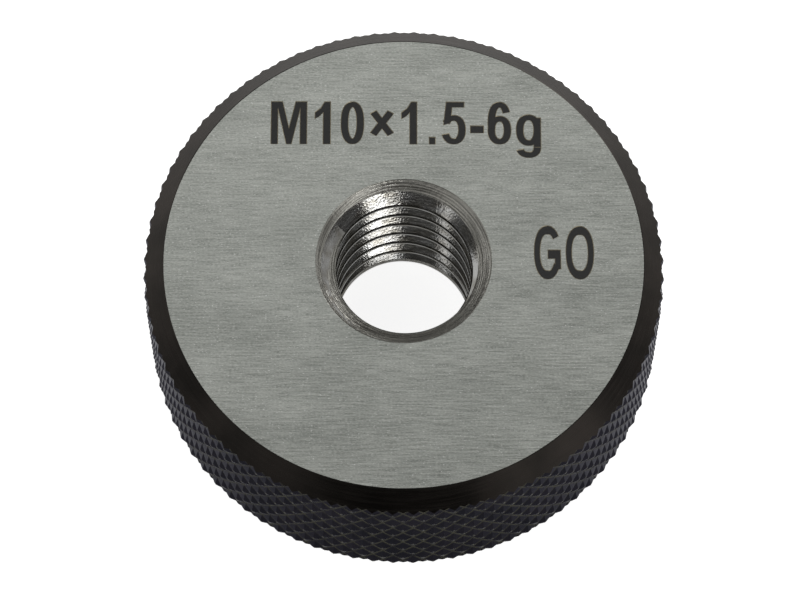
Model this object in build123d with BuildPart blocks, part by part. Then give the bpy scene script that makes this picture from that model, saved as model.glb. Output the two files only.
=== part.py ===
from build123d import *
from build123d.topology import SkipClean
import os
from math import cos, pi, sin, tan

# A thread ring gauge: one turned, knurled and hardened steel ring with a ground face at each end.
# It checks an external thread by being screwed on to it. The ring lies on its lower face.
# +Z is the thread's axis, and the origin is the centre of the lower face.

# Driving dimensions, mm
outer_diameter = 32.0  # over the tips of the knurl
thickness = 12.0
rim_chamfer = 1.3  # at 45 degrees, from the ring's face out to the tips
knurl_columns = 80  # diamonds round the rim
knurl_diamond_height = 1.81  # along the axis
knurl_depth = 0.22  # from the tips to the grooves
thread_diameter = 10.0  # nominal size of the right-hand metric thread
thread_pitch = 1.5
thread_start = 0.8  # turns from +X to where its groove passes mid-thickness
countersink_diameter = 10.8  # mouth of the 90 degree countersink at each end

# Sizes that follow from them
outer_radius = outer_diameter / 2
groove_radius = outer_radius - knurl_depth
face_radius = outer_radius - rim_chamfer
mid_height = thickness / 2
countersink_radius = countersink_diameter / 2

# A metric thread's flanks stand at 60 degrees to each other. The gauge's crests are flat, a quarter
# of the pitch wide, and its flanks meet in a sharp root, clear of the bolt's own crests.
sharp_height = thread_pitch * cos(pi / 6)
crest_radius = thread_diameter / 2 - 5 / 8 * sharp_height
root_radius = thread_diameter / 2 + sharp_height / 8
countersink_depth = countersink_radius - crest_radius


# The knurl is a lattice of points on two cylinders. Helical grooves of both hands cross where
# column + row is even. The point between four crossings is the tip of a pyramid, and a flat
# facet joins it to each pair of neighbouring crossings.
def knurl_point(column, row):
    is_tip = (column + row) % 2
    radius = outer_radius if is_tip else groove_radius
    angle = pi * column / knurl_columns
    return Vector(
        radius * cos(angle),
        radius * sin(angle),
        mid_height + row * knurl_diamond_height / 2,
    )


def knurl_facet(*places):
    return Face(Wire.make_polygon([knurl_point(*place) for place in places], close=True))


# The knurled bar is a little longer than the ring that is turned from it
last_row = int(thickness / knurl_diamond_height) + 2
columns = range(2 * knurl_columns)
facets = [
    knurl_facet((column, row), (side, row), (column, next_row))
    for row in range(-last_row, last_row + 1)
    for column in columns
    if (column + row) % 2
    for side in (column - 1, column + 1)
    for next_row in (row - 1, row + 1)
    if abs(next_row) <= last_row
]
bar_ends = [knurl_facet(*[(column, row) for column in columns]) for row in (-last_row, last_row)]
knurled_bar = Solid(Shell(facets + bar_ends))

# Half a turn of the thread's groove, reaching a little inside the crests so that it opens the bore
inner_radius = crest_radius - thread_pitch / 10
inner_width = 2 * (root_radius - inner_radius) * tan(pi / 6)
with BuildPart() as groove_half_turn:
    with BuildLine():
        helix = Helix(thread_pitch, thread_pitch / 2, root_radius)
    with BuildSketch(Plane.XZ):
        with BuildLine():
            Polyline(
                (root_radius, 0),
                (inner_radius, inner_width / 2),
                (inner_radius, -inner_width / 2),
                close=True,
            )
        make_face()
    sweep(path=helix, is_frenet=True)

# Half turns from below the lower face to above the upper one
reach = int(mid_height / thread_pitch) + 2
groove_places = [
    Location(
        (0, 0, mid_height + half_turn * thread_pitch / 2),
        (0, 0, 360 * thread_start + 180 * half_turn),
    )
    for half_turn in range(-2 * reach, 2 * reach)
]

# The section through one side of the ring. Beyond the knurl's tips its chamfers run on to a point.
with BuildSketch(Plane.XZ) as section:
    with BuildLine():
        Polyline(
            (crest_radius, countersink_depth),
            (countersink_radius, 0),
            (face_radius, 0),
            (face_radius + mid_height, mid_height),
            (face_radius, thickness),
            (countersink_radius, thickness),
            (crest_radius, thickness - countersink_depth),
            close=True,
        )
    make_face()

with BuildPart() as gauge_ring:
    # Two halves, kept as separate faces, so that no strip of crest is longer than half a turn
    with SkipClean():
        for start in (0, 180):
            revolve(section.sketch.rotate(Axis.Z, start), axis=Axis.Z, revolution_arc=180)
        add(knurled_bar, mode=Mode.INTERSECT)
        with Locations(*groove_places):
            add(groove_half_turn.part, mode=Mode.SUBTRACT)

gauge_ring.part.label = "gauge_ring"

os.makedirs("parts", exist_ok=True)
export_step(gauge_ring.part, "parts/gauge_ring.step")
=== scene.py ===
from math import cos, pi, radians, sin, tan

import bmesh
import bpy
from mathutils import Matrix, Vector


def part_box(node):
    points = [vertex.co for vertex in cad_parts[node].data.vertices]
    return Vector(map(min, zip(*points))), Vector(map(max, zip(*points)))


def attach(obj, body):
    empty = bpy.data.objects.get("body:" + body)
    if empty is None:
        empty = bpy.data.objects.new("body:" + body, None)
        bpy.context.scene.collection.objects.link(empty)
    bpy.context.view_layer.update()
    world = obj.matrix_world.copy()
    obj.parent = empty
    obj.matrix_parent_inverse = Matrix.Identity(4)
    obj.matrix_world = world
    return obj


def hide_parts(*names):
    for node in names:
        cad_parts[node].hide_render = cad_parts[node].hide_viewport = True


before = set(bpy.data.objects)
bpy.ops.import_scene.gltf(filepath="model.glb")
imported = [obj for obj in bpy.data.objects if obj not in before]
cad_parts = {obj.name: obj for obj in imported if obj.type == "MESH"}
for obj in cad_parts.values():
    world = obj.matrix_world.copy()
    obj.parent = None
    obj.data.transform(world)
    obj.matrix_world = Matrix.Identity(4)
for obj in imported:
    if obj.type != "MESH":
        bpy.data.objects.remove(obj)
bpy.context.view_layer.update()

# A thread ring gauge lying on its lower face: ground steel faces, a blackened rim with a diamond
# knurl, a polished threaded bore, and marks etched into the upper face.

MM = 0.001
NODE = "gauge_ring"
BODY = "root"

# The ring's sizes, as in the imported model
LOWEST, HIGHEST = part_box(NODE)
OUTER_RADIUS = (HIGHEST.x - LOWEST.x) / 2  # over the tips of the knurl
THICKNESS = HIGHEST.z - LOWEST.z
MID_HEIGHT = THICKNESS / 2
RIM_CHAMFER = 1.3 * MM
KNURL_COLUMNS = 80
KNURL_DIAMOND_HEIGHT = 1.81 * MM
KNURL_DEPTH = 0.22 * MM
THREAD_DIAMETER = 10 * MM
THREAD_PITCH = 1.5 * MM
THREAD_START = 0.8  # turns from +X to where the groove passes mid-thickness
MOUTH_RADIUS = 10.8 * MM / 2  # of the 90 degree countersinks

FACE_RADIUS = OUTER_RADIUS - RIM_CHAMFER
FLANK = radians(30)  # the angle between the thread's flanks and the ring's faces
SHARP_HEIGHT = THREAD_PITCH * cos(FLANK)
CREST_RADIUS = THREAD_DIAMETER / 2 - 5 / 8 * SHARP_HEIGHT
ROOT_RADIUS = THREAD_DIAMETER / 2 + SHARP_HEIGHT / 8
MOUTH_DEPTH = MOUTH_RADIUS - CREST_RADIUS

# Finer sizes, which only the dressed ring has
EDGE_BREAK = 0.03 * MM  # the tiny bevels that take the sharpness off the faces' edges
ROOT_FLAT = 0.06 * MM  # across the thread's root
BEVEL_RADIUS = CREST_RADIUS + 0.08 * MM  # where the bevels of the thread's crests begin
BEVEL_SPACING = ROOT_FLAT + 2 * (ROOT_RADIUS - BEVEL_RADIUS) * tan(FLANK)
ETCH_DEPTH = 0.03 * MM
ETCH_SLOPE = 0.04 * MM  # width of the heat-tinted slope round an etched stroke
SHARP_EDGE = radians(20)  # edges that turn by more than this aren't smoothed
MERGE_DISTANCE = 0.002 * MM

# The photograph's view: a camera beyond the lower edge of the marks, looking steeply down
CAMERA_DISTANCE = 17.5 * FACE_RADIUS  # from the centre of the upper face
CAMERA_ELEVATION = radians(68.25)
CAMERA_AIM = Vector((-0.22, -2.24, 11.11)) * MM
LENS = 189.5  # on the standard 36 mm frame

FLOOR_SIZE = 3.0
SEEN_LIFT = 0.85  # how far the floor's own white is raised where the camera sees it
MIRRORED_LIFT = 0.50  # and where the ring mirrors it
SHADOW_LEVEL = 0.06  # of the studio's darkest parts


class Number:
    """A number that a node tree works out. A sum written with it becomes Math nodes."""

    def __init__(self, socket):
        self.socket = socket

    def maths(self, operation, *others):
        node = self.socket.id_data.nodes.new("ShaderNodeMath")
        node.operation = operation
        for socket, value in zip(node.inputs, (self, *others)):
            feed(socket, value)
        return Number(node.outputs[0])

    def __add__(self, other):
        return self.maths("ADD", other)

    def __sub__(self, other):
        return self.maths("SUBTRACT", other)

    def __rsub__(self, other):
        return self.maths("MULTIPLY_ADD", -1, other)

    def __mul__(self, other):
        return self.maths("MULTIPLY", other)

    def __truediv__(self, other):
        return self.maths("DIVIDE", other)

    __radd__ = __add__
    __rmul__ = __mul__


def feed(socket, value):
    """Links another node's output to the socket, or sets the socket to a plain value."""
    if isinstance(value, Number):
        value = value.socket
    if isinstance(value, bpy.types.NodeSocket):
        socket.id_data.links.new(value, socket)
    else:
        socket.default_value = value


def add_node(tree, kind, inputs=None, **settings):
    """Adds a node of this kind, with its inputs and its other settings."""
    node = tree.nodes.new(kind)
    for name, value in settings.items():
        setattr(node, name, value)
    for name, value in (inputs or {}).items():
        feed(node.inputs[name], value)
    return node


def vector(tree, x, y, z):
    """A vector of three numbers, each plain or worked out."""
    return add_node(tree, "ShaderNodeCombineXYZ", {"X": x, "Y": y, "Z": z}).outputs[0]


def split(tree, source):
    """The x, y and z of a vector, as numbers."""
    parts = add_node(tree, "ShaderNodeSeparateXYZ", {"Vector": source})
    return [Number(output) for output in parts.outputs]


def add_object(name, data):
    """An object for the mesh, camera or lamp, in the scene."""
    made = bpy.data.objects.new(name, data)
    bpy.context.scene.collection.objects.link(made)
    return made


def plain_mesh(made):
    """Turns the object's modifiers into plain mesh."""
    graph = bpy.context.evaluated_depsgraph_get()
    mesh = bpy.data.meshes.new_from_object(made.evaluated_get(graph))
    made.modifiers.clear()
    made.data = mesh
    return made


# Materials

def start_material(name, **sockets):
    """A material whose shader has these numbers and colours all over. Returns it, its tree and its
    shader."""
    material = bpy.data.materials.new(name)
    material.use_nodes = True
    tree = material.node_tree
    shader = tree.nodes["Principled BSDF"]
    for socket, value in sockets.items():
        shader.inputs[socket.replace("_", " ").title()].default_value = value
    return material, tree, shader


def grain(tree, size, detail=3.0, roughness=0.5):
    """Noise whose features are about size = (x, y, z) metres long."""
    place = add_node(tree, "ShaderNodeTexCoord").outputs["Object"]
    scale = [1 / length for length in size]
    scaled = add_node(tree, "ShaderNodeMapping", {"Vector": place, "Scale": scale})
    noise = add_node(
        tree,
        "ShaderNodeTexNoise",
        {"Vector": scaled.outputs[0], "Scale": 1.0, "Detail": detail, "Roughness": roughness},
    )
    return Number(noise.outputs["Fac"])


def turning(tree, width):
    """Noise in rings round the axis, as a lathe's tool leaves them. They run on round the ring for
    a few millimetres before they change."""
    place = add_node(tree, "ShaderNodeTexCoord").outputs["Object"]
    x, y, z = split(tree, place)
    radius = (x * x + y * y).maths("SQRT")
    run = 4 * MM
    rings = vector(tree, x / run, y / run, (z + radius * 0.4) / width)
    noise = add_node(tree, "ShaderNodeTexNoise", {"Vector": rings, "Scale": 1.0, "Detail": 3.0})
    return Number(noise.outputs["Fac"])


def spread(value, low, high, to_low, to_high):
    """The value with low..high stretched to to_low..to_high, and held at both ends."""
    tree = value.socket.id_data
    node = add_node(
        tree,
        "ShaderNodeMapRange",
        {"Value": value, "From Min": low, "From Max": high, "To Min": to_low, "To Max": to_high},
    )
    return Number(node.outputs["Result"])


def mix_colours(tree, share, first, second):
    """The first colour, with this share of the second."""
    node = add_node(tree, "ShaderNodeMix", data_type="RGBA")
    feed(node.inputs["Factor"], share)
    feed(node.inputs[6], first)
    feed(node.inputs[7], second)
    return node.outputs[2]


def bump(tree, shader, height, depth):
    """Shades the surface as if the height, from 0 to 1, stood up by the depth."""
    node = add_node(tree, "ShaderNodeBump", {"Height": height, "Distance": depth})
    feed(shader.inputs["Normal"], node.outputs[0])


def ground_steel():
    """Ground along X: fine short streaks, with small painted glints: near-white specks painted into the
    colour.
    """
    material, tree, shader = start_material("ground_steel", metallic=1.0)
    streaks = grain(tree, (1.6 * MM, 0.10 * MM, 1 * MM), detail=3.0)
    fine = grain(tree, (0.16 * MM, 0.07 * MM, 1 * MM), detail=2.0)
    clouds = grain(tree, (5 * MM, 2 * MM, 5 * MM))
    # Painted glints: where this noise is highest, the colour is raised to near-white.
    painted_glints = grain(tree, (0.13 * MM, 0.06 * MM, 1 * MM), detail=1.0)
    tone = streaks * 0.42 + fine * 0.38 + clouds * 0.2
    tone = spread(tone, 0.38, 0.62, 0, 1)
    colour = mix_colours(tree, tone, (0.25, 0.262, 0.24, 1), (0.52, 0.535, 0.495, 1))
    colour = mix_colours(tree, spread(painted_glints, 0.66, 0.76, 0, 0.8), colour, (0.95, 0.95, 0.93, 1))
    feed(shader.inputs["Base Color"], colour)
    feed(shader.inputs["Roughness"], spread(streaks, 0.3, 0.7, 0.24, 0.34))
    bump(tree, shader, streaks + fine, 0.0015 * MM)
    return material


def turned_black_oxide():
    """The rim's chamfers: a thin black film over fine turning marks, a little browner in patches."""
    material, tree, shader = start_material(
        "turned_black_oxide", metallic=1.0, specular_tint=(0.84, 0.83, 0.82, 1)
    )
    patches = spread(grain(tree, (3 * MM, 3 * MM, 3 * MM)), 0.35, 0.65, 0, 1)
    marks = turning(tree, 0.08 * MM)
    colour = mix_colours(tree, patches, (0.020, 0.018, 0.016, 1), (0.030, 0.026, 0.023, 1))
    feed(shader.inputs["Base Color"], colour)
    feed(shader.inputs["Roughness"], spread(marks, 0.3, 0.7, 0.20, 0.32))
    bump(tree, shader, marks, 0.0007 * MM)
    return material


def knurled_black_oxide():
    """Blackened, with painted light lines along the bottoms of the grooves, which are also rougher
    there, and worn a little at the tips.
    """
    material, tree, shader = start_material(
        "knurled_black_oxide", metallic=1.0, specular_tint=(0.60, 0.60, 0.63, 1)
    )
    patches = spread(grain(tree, (3 * MM, 3 * MM, 3 * MM)), 0.35, 0.65, 0, 1)
    specks = grain(tree, (0.15 * MM, 0.15 * MM, 0.15 * MM))
    x, y, _ = split(tree, add_node(tree, "ShaderNodeTexCoord").outputs["Object"])
    depth = OUTER_RADIUS - (x * x + y * y).maths("SQRT") + (specks - 0.5) * 0.03 * MM
    # Painted highlight: the groove bottoms get a lighter colour and more roughness, as light lines
    # along the grooves.
    painted_groove_lines = spread(depth, 0.84 * KNURL_DEPTH, 0.98 * KNURL_DEPTH, 0, 1)
    painted_groove_lines = painted_groove_lines * spread(grain(tree, (0.8 * MM, 0.8 * MM, 0.8 * MM)), 0.35, 0.6, 0.2, 1)
    worn = spread(depth, 0, 0.15 * KNURL_DEPTH, 1, 0)
    colour = mix_colours(tree, patches, (0.007, 0.007, 0.009, 1), (0.011, 0.010, 0.013, 1))
    # The lighter colour of the groove bottoms: painted light lines.
    colour = mix_colours(tree, painted_groove_lines, colour, (0.065, 0.063, 0.042, 1))
    colour = mix_colours(tree, worn, colour, (0.16, 0.155, 0.13, 1))
    feed(shader.inputs["Base Color"], colour)
    feed(shader.inputs["Roughness"], spread(specks, 0.3, 0.7, 0.20, 0.32) + painted_groove_lines * 0.2)
    bump(tree, shader, specks, 0.0007 * MM)
    return material


def polished_steel():
    """The lapped thread, with the fine chatter of its tap across the turns."""
    material, tree, shader = start_material("polished_steel", metallic=1.0)
    marks = turning(tree, 0.05 * MM)
    chatter = grain(tree, (0.12 * MM, 0.12 * MM, 4 * MM), detail=1.0)
    clouds = grain(tree, (1 * MM, 1 * MM, 0.4 * MM))
    tone = spread(clouds, 0.35, 0.65, 0, 1)
    colour = mix_colours(tree, tone, (0.22, 0.21, 0.185, 1), (0.38, 0.38, 0.37, 1))
    feed(shader.inputs["Base Color"], colour)
    feed(shader.inputs["Roughness"], spread(marks, 0.3, 0.7, 0.10, 0.20))
    bump(tree, shader, marks * 0.6 + chatter * 1.5, 0.005 * MM)
    return material


def turned_steel():
    """The countersinks: coarse rings from the tool, and a little chatter across them."""
    material, tree, shader = start_material("turned_steel", metallic=0.8)
    marks = turning(tree, 0.10 * MM)
    chatter = grain(tree, (0.25 * MM, 0.25 * MM, 4 * MM), detail=1.0)
    tone = spread(marks, 0.35, 0.65, 0, 1)
    colour = mix_colours(tree, tone, (0.18, 0.175, 0.155, 1), (0.52, 0.51, 0.465, 1))
    feed(shader.inputs["Base Color"], colour)
    feed(shader.inputs["Roughness"], spread(marks, 0.3, 0.7, 0.12, 0.26))
    bump(tree, shader, marks + chatter * 0.8, 0.032 * MM)
    return material


def etched_steel():
    """The dark, matt bottoms of the marks."""
    material, tree, shader = start_material("etched_steel", metallic=0.4, roughness=0.6)
    specks = grain(tree, (0.08 * MM, 0.08 * MM, 0.08 * MM))
    colour = mix_colours(tree, specks, (0.016, 0.016, 0.016, 1), (0.034, 0.034, 0.032, 1))
    feed(shader.inputs["Base Color"], colour)
    bump(tree, shader, specks, 0.01 * MM)
    return material


def heat_tinted_steel():
    """The straw-coloured slopes round the marks."""
    material, tree, shader = start_material("heat_tinted_steel", metallic=1.0, roughness=0.4)
    specks = grain(tree, (0.1 * MM, 0.1 * MM, 0.1 * MM))
    colour = mix_colours(tree, specks, (0.20, 0.17, 0.11, 1), (0.30, 0.27, 0.20, 1))
    feed(shader.inputs["Base Color"], colour)
    return material


# Shapes made by Geometry Nodes

def start_tree(name, sizes):
    """A Geometry Nodes tree with a named input for each size. Returns it and the inputs."""
    tree = bpy.data.node_groups.new(name, "GeometryNodeTree")
    tree.interface.new_socket("Mesh", in_out="OUTPUT", socket_type="NodeSocketGeometry")
    for label, value in sizes.items():
        kind = "NodeSocketInt" if isinstance(value, int) else "NodeSocketFloat"
        tree.interface.new_socket(label, in_out="INPUT", socket_type=kind)
    inputs = tree.nodes.new("NodeGroupInput")
    return tree, [Number(inputs.outputs[label]) for label in sizes]


def run_tree(tree, mesh, sizes, material):
    """Ends the tree, runs it with these sizes, and keeps the result as a plain mesh."""
    realized = add_node(tree, "GeometryNodeRealizeInstances", {"Geometry": mesh})
    finished = add_node(
        tree, "GeometryNodeSetMaterial", {"Geometry": realized.outputs[0], "Material": material}
    )
    add_node(tree, "NodeGroupOutput", {"Mesh": finished.outputs[0]})
    made = add_object(tree.name, bpy.data.meshes.new(tree.name))
    modifier = made.modifiers.new(tree.name, "NODES")
    modifier.node_group = tree
    for item in tree.interface.items_tree:
        if item.in_out == "INPUT":
            modifier[item.identifier] = sizes[item.name]
    return plain_mesh(made)


def set_position(tree, mesh, position, selection=True):
    """Moves the mesh's points, or only the selected ones, to the position."""
    node = add_node(
        tree,
        "GeometryNodeSetPosition",
        {"Geometry": mesh, "Position": position, "Selection": selection},
    )
    return node.outputs[0]


def merge(tree, mesh):
    """Joins the points that lie in one place."""
    node = add_node(tree, "GeometryNodeMergeByDistance", {"Geometry": mesh, "Distance": MERGE_DISTANCE})
    return node.outputs[0]


def knurled_bar(material):
    """A round bar with a diamond knurl, a little longer than the ring. Each diamond is a copy of one
    tile, a low pyramid between four grooves, and the tiles are then wrapped round the bar."""
    sizes = {
        "Columns": KNURL_COLUMNS,
        "Rows": 2 * int(THICKNESS / KNURL_DIAMOND_HEIGHT + 2) + 1,
        "Tile cuts": 2,
        "Diamond height": KNURL_DIAMOND_HEIGHT,
        "Groove radius": OUTER_RADIUS - KNURL_DEPTH,
        "Depth": KNURL_DEPTH,
        "Mid height": MID_HEIGHT,
        "Tip rounding": 0.05,  # in pyramid heights, as the next
        "Ridge rounding": 0.05,
    }
    tree, inputs = start_tree("knurled_bar", sizes)
    columns, rows, cuts, diamond_height, groove_radius = inputs[:5]
    depth, mid_height, tip_rounding, ridge_rounding = inputs[5:]

    # The tile: four facets from the tip to the grooves, which run diagonally
    facets = add_node(
        tree, "GeometryNodeMeshCircle", {"Vertices": 4, "Radius": 1.0}, fill_type="TRIANGLE_FAN"
    )
    divided = add_node(tree, "GeometryNodeSubdivideMesh", {"Mesh": facets.outputs[0], "Level": cuts})
    side, height, _ = split(tree, add_node(tree, "GeometryNodeInputPosition").outputs[0])

    def fall(distance):
        return 1 - (distance * distance + tip_rounding * tip_rounding).maths("SQRT")

    rise = fall(side + height).maths("SMOOTH_MIN", fall(side - height), ridge_rounding)
    summit = 1 - tip_rounding - ridge_rounding / 6
    tile = set_position(tree, divided.outputs[0], vector(tree, side, height, rise / summit))

    # The lattice: its even rows stand half a diamond beside its odd ones
    points = add_node(tree, "GeometryNodePoints", {"Count": columns * rows})
    index = Number(add_node(tree, "GeometryNodeInputIndex").outputs[0])
    row = (index / columns).maths("FLOOR")
    column = index - row * columns
    shift = row.maths("MODULO", 2)
    feed(points.inputs["Position"], vector(tree, column * 2 + shift, row - (rows - 1) / 2, 0))
    placed = add_node(
        tree, "GeometryNodeInstanceOnPoints", {"Points": points.outputs[0], "Instance": tile}
    )
    flat = add_node(tree, "GeometryNodeRealizeInstances", {"Geometry": placed.outputs[0]})

    # Round the bar
    side, height, rise = split(tree, add_node(tree, "GeometryNodeInputPosition").outputs[0])
    angle = side / columns * pi
    radius = groove_radius + depth * rise
    wrapped = set_position(
        tree,
        flat.outputs[0],
        vector(
            tree,
            radius * angle.maths("COSINE"),
            radius * angle.maths("SINE"),
            mid_height + height * diamond_height / 2,
        ),
    )
    joined = merge(tree, wrapped)

    # Its open ends are drawn together on the axis
    neighbours = add_node(tree, "GeometryNodeInputMeshEdgeNeighbors").outputs[0]
    is_open = Number(neighbours).maths("COMPARE", 1, 0.5)
    ends = add_node(
        tree,
        "GeometryNodeExtrudeMesh",
        {"Mesh": joined, "Selection": is_open, "Offset Scale": 0.0},
        mode="EDGES",
    )
    _, _, end_height = split(tree, add_node(tree, "GeometryNodeInputPosition").outputs[0])
    side_of_middle = (end_height - mid_height).maths("SIGN")
    end_place = mid_height + side_of_middle * rows * diamond_height / 4
    centre = vector(tree, 0, 0, end_place)
    closed = set_position(tree, ends.outputs["Mesh"], centre, ends.outputs["Top"])
    return run_tree(tree, merge(tree, closed), sizes, material)


def thread_groove(name, material, bottom_radius, bottom_width, flank):
    """A groove of the thread, as a closed bar wound round the axis from below the ring to above it.
    flank = the angle between a flank and the ring's faces."""
    sizes = {
        "Turns": 2 * int(MID_HEIGHT / THREAD_PITCH + 2),
        "Steps per turn": 120,
        "Pitch": THREAD_PITCH,
        "Start": THREAD_START,
        "Mid height": MID_HEIGHT,
        "Bottom radius": bottom_radius,
        "Bottom width": bottom_width,
        "Reach": bottom_radius - CREST_RADIUS + THREAD_PITCH / 10,  # past the crests, to open the bore
        "Flank slope": tan(flank),
    }
    tree, inputs = start_tree(name, sizes)
    turns, steps, pitch, start, mid_height, bottom_radius, bottom_width, reach, slope = inputs
    line = add_node(tree, "GeometryNodeCurvePrimitiveLine")
    path = add_node(
        tree, "GeometryNodeResampleCurve", {"Curve": line.outputs[0], "Count": turns * steps + 1}
    )
    factor = Number(add_node(tree, "GeometryNodeSplineParameter").outputs["Factor"])
    turn = (factor - 0.5) * turns
    angle = (turn + start) * 2 * pi
    helix = set_position(
        tree,
        path.outputs[0],
        vector(
            tree,
            bottom_radius * angle.maths("COSINE"),
            bottom_radius * angle.maths("SINE"),
            mid_height + turn * pitch,
        ),
    )
    upright = add_node(tree, "GeometryNodeSetCurveNormal", {"Curve": helix})
    upright.mode = "Z_UP"
    half_bottom = bottom_width / 2
    half_mouth = half_bottom + reach * slope
    section = add_node(
        tree,
        "GeometryNodeCurvePrimitiveQuadrilateral",
        {
            "Point 1": vector(tree, 0, half_bottom, 0),
            "Point 2": vector(tree, 0, half_bottom * -1, 0),
            "Point 3": vector(tree, reach * -1, half_mouth * -1, 0),
            "Point 4": vector(tree, reach * -1, half_mouth, 0),
        },
        mode="POINTS",
    )
    bar = add_node(
        tree,
        "GeometryNodeCurveToMesh",
        {"Curve": upright.outputs[0], "Profile Curve": section.outputs[0], "Fill Caps": True},
    )
    outward = add_node(tree, "GeometryNodeFlipFaces", {"Mesh": bar.outputs[0]})
    return run_tree(tree, outward.outputs[0], sizes, material)


# The turned blank

def turned_blank(ground, blackened, turned, polished, sides=360):
    """The ring's section, spun round the axis. Its chamfers run on to a point beyond the knurl's
    tips."""
    half = [
        (CREST_RADIUS, MOUTH_DEPTH, turned),
        (MOUTH_RADIUS, 0, ground),
        (FACE_RADIUS - EDGE_BREAK, 0, blackened),
        (FACE_RADIUS + EDGE_BREAK * cos(pi / 4), EDGE_BREAK * sin(pi / 4), blackened),
        (FACE_RADIUS + MID_HEIGHT, MID_HEIGHT, blackened),
    ]
    upper = [(radius, THICKNESS - height) for radius, height, _ in half[-2::-1]]
    section = [(radius, height) for radius, height, _ in half] + upper
    finishes = [finish for _, _, finish in half[:-1]]
    finishes += finishes[::-1] + [polished]
    mesh = bpy.data.meshes.new("turned_blank")
    points = [
        (radius * cos(2 * pi * side / sides), radius * sin(2 * pi * side / sides), height)
        for side in range(sides)
        for radius, height in section
    ]
    count = len(section)
    faces = [
        (
            side * count + corner,
            (side + 1) % sides * count + corner,
            (side + 1) % sides * count + (corner + 1) % count,
            side * count + (corner + 1) % count,
        )
        for side in range(sides)
        for corner in range(count)
    ]
    mesh.from_pydata(points, [], faces)
    slots = [ground, blackened, turned, polished]
    for material in slots:
        mesh.materials.append(material)
    for number, polygon in enumerate(mesh.polygons):
        polygon.material_index = slots.index(finishes[number % count])
    return add_object("turned_blank", mesh)


def cut(target, tool, operation):
    """Cuts the target with the tool, or joins them. Each cut face keeps the tool's finish."""
    modifier = target.modifiers.new(operation, "BOOLEAN")
    modifier.operation = operation
    modifier.solver = "MANIFOLD"
    modifier.object = tool
    modifier.material_mode = "TRANSFER"
    plain_mesh(target)
    bpy.data.objects.remove(tool)


# The marks. A character has outlines and strokes, drawn in a box one unit wide and high. A stroke is
# the line that the pen's middle follows, and the pen stays inside the box.

def arc(start, end, middle=(0.5, 0.5), reach=(0.5, 0.5), squareness=2.3, steps=24):
    """A stroke along a squarish ellipse, from the start angle to the end angle in degrees."""
    points = []
    for step in range(steps + 1):
        angle = radians(start + (end - start) * step / steps)
        x, y = cos(angle), sin(angle)
        stretch = (abs(x) ** squareness + abs(y) ** squareness) ** (-1 / squareness)
        points.append((middle[0] + reach[0] * x * stretch, middle[1] + reach[1] * y * stretch))
    return points


def ring(**shape):
    """A closed curve, as two strokes that overlap a little at their ends."""
    return [arc(-10, 190, **shape), arc(170, 370, **shape)]


ONE = [
    (0.5, 0), (0.5, 0.72), (0.28, 0.64), (0, 0.58), (0, 0.75),
    (0.36, 0.85), (0.6, 1), (1, 1), (1, 0),
]
LETTER_M = [
    (0, 0), (0, 1), (0.33, 1), (0.5, 0.42), (0.67, 1), (1, 1), (1, 0),
    (0.79, 0), (0.79, 0.74), (0.58, 0), (0.42, 0), (0.21, 0.74), (0.21, 0),
]
BLOCK = [(0, 0), (0, 1), (1, 1), (1, 0)]
FIVE_FLAG = [(0.08, 0.44), (0.19, 1), (0.94, 1), (0.94, 0.86), (0.46, 0.86), (0.39, 0.50)]
FIVE_BOWL = arc(148, -160, middle=(0.5, 0.32), reach=(0.5, 0.32))
BOWL = {"middle": (0.5, 0.31), "reach": (0.5, 0.31)}
HIGH_BOWL = {"middle": (0.5, 0.66), "reach": (0.5, 0.34)}
TAIL = arc(5, -165, middle=(0.5, 0.2), reach=(0.5, 0.2))
G_BAR = [[(1, 0.12), (1, 0.46)], [(0.5, 0.46), (1.15, 0.46)]]


def character(across, up, outlines=(), strokes=()):
    """A character and the box it fills on the face: its left and right sides, and its bottom and
    top, in millimetres from the ring's axis."""
    return outlines, strokes, across, up


LINE = (7.72, 10.62)  # bottom and top of the size mark's figures
SIZE_PEN = Vector((0.50, 0.42))
SIZE_MARK = [
    character((-8.25, -5.98), LINE, outlines=[LETTER_M]),
    character((-5.54, -4.52), LINE, outlines=[ONE]),
    character((-3.93, -2.45), LINE, strokes=ring()),
    character((-2.17, -0.56), (8.17, 10.13), strokes=[[(0, 0), (1, 1)], [(0, 1), (1, 0)]]),
    character((-0.18, 0.83), LINE, outlines=[ONE]),
    character((1.53, 1.96), (7.72, 8.24), outlines=[BLOCK]),
    character((2.29, 3.84), LINE, outlines=[FIVE_FLAG], strokes=[FIVE_BOWL]),
    character((4.08, 4.95), (8.48, 9.01), outlines=[BLOCK]),
    character((5.16, 6.65), LINE, strokes=ring(**BOWL) + [arc(32, 200)]),
    character((6.91, 8.49), (6.83, 9.77), strokes=ring(**HIGH_BOWL) + [[(1, 1), (1, 0.2)], TAIL]),
]
GAUGE_PEN = Vector((0.41, 0.62))
GAUGE_MARK = [
    character((7.95, 9.63), (-1.23, 2.35), strokes=[arc(38, 330)] + G_BAR),
    character((9.89, 11.65), (-1.23, 2.32), strokes=ring()),
]


def pen_outline(points, pen):
    """The outline of a stroke. The pen is pen.x wide in upright strokes and pen.y in level ones."""
    sides = [[], []]
    for number, point in enumerate(points):
        ahead = points[min(number + 1, len(points) - 1)] - points[max(number - 1, 0)]
        across = Vector((ahead.y, -ahead.x)).normalized() * pen / 2
        sides[0].append(point + across)
        sides[1].append(point - across)
    return sides[0] + sides[1][::-1]


def widened(outline, distance):
    """The outline with each side moved out by the distance."""
    turns = sum(point.cross(outline[number - 1]) for number, point in enumerate(outline))
    moved = []
    for number, point in enumerate(outline):
        before = (point - outline[number - 1]).normalized()
        after = (outline[(number + 1) % len(outline)] - point).normalized()
        outward = Vector((before.y + after.y, -before.x - after.x)) / (1 + before.dot(after))
        moved.append(point + outward * distance * (1 if turns < 0 else -1))
    return moved


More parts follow.
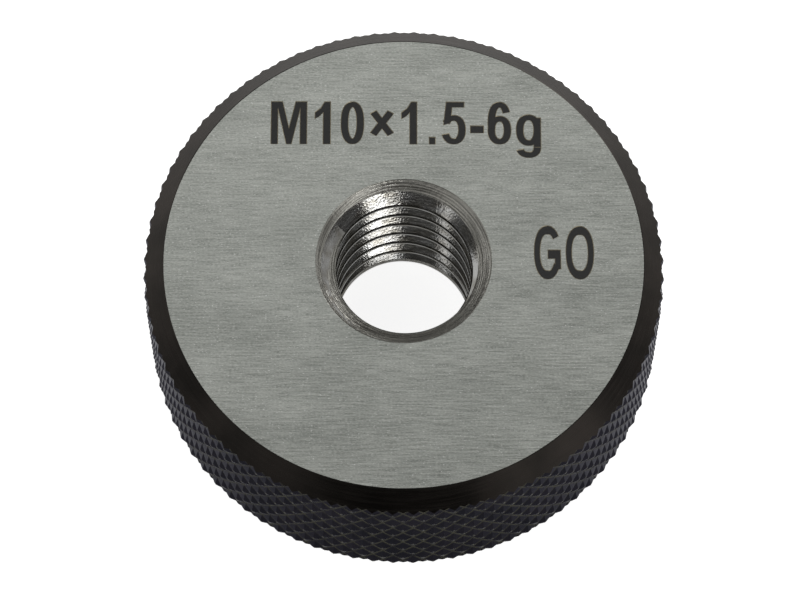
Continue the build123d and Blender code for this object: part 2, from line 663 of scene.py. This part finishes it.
def etched_outline(outline, bottom_finish, slope_finish):
    """A closed block that cuts the outline into the upper face, with sloping sides."""
    points = [(*point, THICKNESS - ETCH_DEPTH) for point in widened(outline, -ETCH_SLOPE)]
    points += [(*point, THICKNESS + ETCH_DEPTH) for point in widened(outline, ETCH_SLOPE)]
    count = len(outline)
    faces = [range(count), range(2 * count - 1, count - 1, -1)]
    for corner in range(count):
        ahead = (corner + 1) % count
        faces.append((ahead, corner, corner + count, ahead + count))
    mesh = bpy.data.meshes.new("etched_outline")
    mesh.from_pydata(points, [], [tuple(face) for face in faces])
    mesh.materials.append(bottom_finish)
    mesh.materials.append(slope_finish)
    for polygon in mesh.polygons[1:]:
        polygon.material_index = 1
    made = bmesh.new()
    made.from_mesh(mesh)
    bmesh.ops.triangulate(made, faces=made.faces)
    bmesh.ops.recalc_face_normals(made, faces=made.faces)
    made.to_mesh(mesh)
    made.free()
    return add_object("etched_outline", mesh)


def etched_mark(characters, pen, bottom_finish, slope_finish):
    """The blocks for all the characters, joined into one."""
    pieces = []
    for outlines, strokes, (left, right), (bottom, top) in characters:
        corner = Vector((left, bottom))
        size = Vector((right - left, top - bottom))
        shapes = [[corner + size * Vector(point) for point in outline] for outline in outlines]
        for stroke in strokes:
            line = [corner + pen / 2 + (size - pen) * Vector(point) for point in stroke]
            shapes.append(pen_outline(line, pen))
        for shape in shapes:
            pieces.append(etched_outline([point * MM for point in shape], bottom_finish, slope_finish))
    whole = pieces.pop(0)
    for piece in pieces:
        cut(whole, piece, "UNION")
    return whole


def aim(made, target):
    """Turns a camera or a lamp towards the target."""
    made.rotation_euler = (target - made.location).to_track_quat("-Z", "Y").to_euler()


def add_camera():
    """The photograph's camera, in front of the ring and high above it."""
    camera = add_object("camera", bpy.data.cameras.new("camera"))
    camera.data.lens = LENS
    camera.data.clip_start = 10 * MM
    direction = Vector((0, -cos(CAMERA_ELEVATION), sin(CAMERA_ELEVATION)))
    camera.location = Vector((0, 0, THICKNESS)) + CAMERA_DISTANCE * direction
    aim(camera, CAMERA_AIM)
    bpy.context.scene.camera = camera


def add_softbox(name, place, width, height, power):
    """A rectangular lamp, turned towards the middle of the ring. The power is in watts."""
    softbox = add_object(name, bpy.data.lights.new(name, "AREA"))
    softbox.data.shape = "RECTANGLE"
    softbox.data.size = width
    softbox.data.size_y = height
    softbox.data.energy = power
    softbox.location = place
    aim(softbox, Vector((0, 0, MID_HEIGHT)))


def add_world():
    """A plain studio round the ring: brightest above and behind, pale all round lower down, and dark
    between, in the tilted ring of directions that the thread's flanks mirror."""
    world = bpy.data.worlds.new("studio")
    world.use_nodes = True
    tree = world.node_tree
    side, depth, height = split(tree, add_node(tree, "ShaderNodeTexCoord").outputs["Generated"])
    tilt = height + depth * 0.31

    # The ceiling, brighter towards the back and a little towards the left
    ceiling = spread(tilt, 0.66, 0.80, 0, 0.4)
    behind = spread(depth, 0.28, 0.50, -0.15, 0.95) + spread(side, -0.13, 0.13, 0.15, -0.15)
    behind = behind * spread(height, 0.78, 0.90, 0, 1)

    # The walls below the dark ring, and a pale horizon that fades towards the front
    walls = spread(tilt, 0.12, 0.24, 0, 0.4) * spread(tilt, 0.50, 0.56, 1, 0)
    horizon = spread(height, 0, 0.3, 0.6, 0) * spread(depth, -0.85, -0.2, 0.15, 1)

    # Low windows at the front, the right one brighter
    windows = spread(side, 0.35, 0.55, 0, 0.9) + spread(side, -0.55, -0.35, 0.35, 0)
    windows = windows * spread(depth, -0.45, -0.25, 1, 0) * spread(height, 0.40, 0.55, 1, 0)

    level = ceiling + behind + walls + horizon + windows + SHADOW_LEVEL
    feed(tree.nodes["Background"].inputs["Color"], vector(tree, level, level, level))
    bpy.context.scene.world = world


def add_floor():
    """A white floor that keeps the ring's shadow. It glows only where it is seen or mirrored."""
    reach = FLOOR_SIZE / 2
    mesh = bpy.data.meshes.new("floor")
    corners = [(-reach, -reach, 0), (reach, -reach, 0), (reach, reach, 0), (-reach, reach, 0)]
    mesh.from_pydata(corners, [], [(0, 1, 2, 3)])
    floor = add_object("floor", mesh)
    material, tree, shader = start_material("white_floor", base_color=(0.9, 0.9, 0.9, 1), roughness=0.7)
    rays = add_node(tree, "ShaderNodeLightPath")
    seen = Number(rays.outputs["Is Camera Ray"]).maths("MAXIMUM", rays.outputs["Is Transmission Ray"])
    mirrored = Number(rays.outputs["Is Glossy Ray"])
    strength = seen * SEEN_LIFT + mirrored * MIRRORED_LIFT
    lift = add_node(tree, "ShaderNodeEmission", {"Strength": strength})
    both = add_node(tree, "ShaderNodeAddShader")
    feed(both.inputs[0], shader.outputs[0])
    feed(both.inputs[1], lift.outputs[0])
    feed(tree.nodes["Material Output"].inputs["Surface"], both.outputs[0])
    mesh.materials.append(material)


# The ring: the blank is knurled, threaded and marked
add_camera()
ground = ground_steel()
polished = polished_steel()
etched = etched_steel()
tinted = heat_tinted_steel()
gauge = turned_blank(ground, turned_black_oxide(), turned_steel(), polished)
cut(gauge, knurled_bar(knurled_black_oxide()), "INTERSECT")
groove = thread_groove("thread_groove", polished, ROOT_RADIUS, ROOT_FLAT, FLANK)
cut(gauge, groove, "DIFFERENCE")
bevels = thread_groove("crest_bevels", polished, BEVEL_RADIUS, BEVEL_SPACING, 2 * FLANK)
cut(gauge, bevels, "DIFFERENCE")
cut(gauge, etched_mark(SIZE_MARK, SIZE_PEN, etched, tinted), "DIFFERENCE")
cut(gauge, etched_mark(GAUGE_MARK, GAUGE_PEN, etched, tinted), "DIFFERENCE")
gauge.name = "dressed_ring"
gauge.data.shade_smooth()
gauge.data.set_sharp_from_angle(angle=SHARP_EDGE)
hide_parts(NODE)
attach(gauge, BODY)

# The studio. Places and sizes of the lamps are in metres.
bpy.context.scene.view_settings.view_transform = "Standard"
add_world()
add_floor()
add_softbox("key", Vector((0.26, 0.45, 0.32)), width=0.30, height=0.30, power=1.1)
add_softbox("left", Vector((-0.40, 0.20, 0.32)), width=0.30, height=0.30, power=0.25)
add_softbox("right", Vector((0.40, 0.20, 0.32)), width=0.30, height=0.30, power=0.06)
add_softbox("bore_light", Vector((0.18, -0.27, 0.35)), width=0.22, height=0.07, power=0.28)
add_softbox("bore_fill", Vector((-0.22, -0.21, 0.34)), width=0.07, height=0.07, power=0.022)
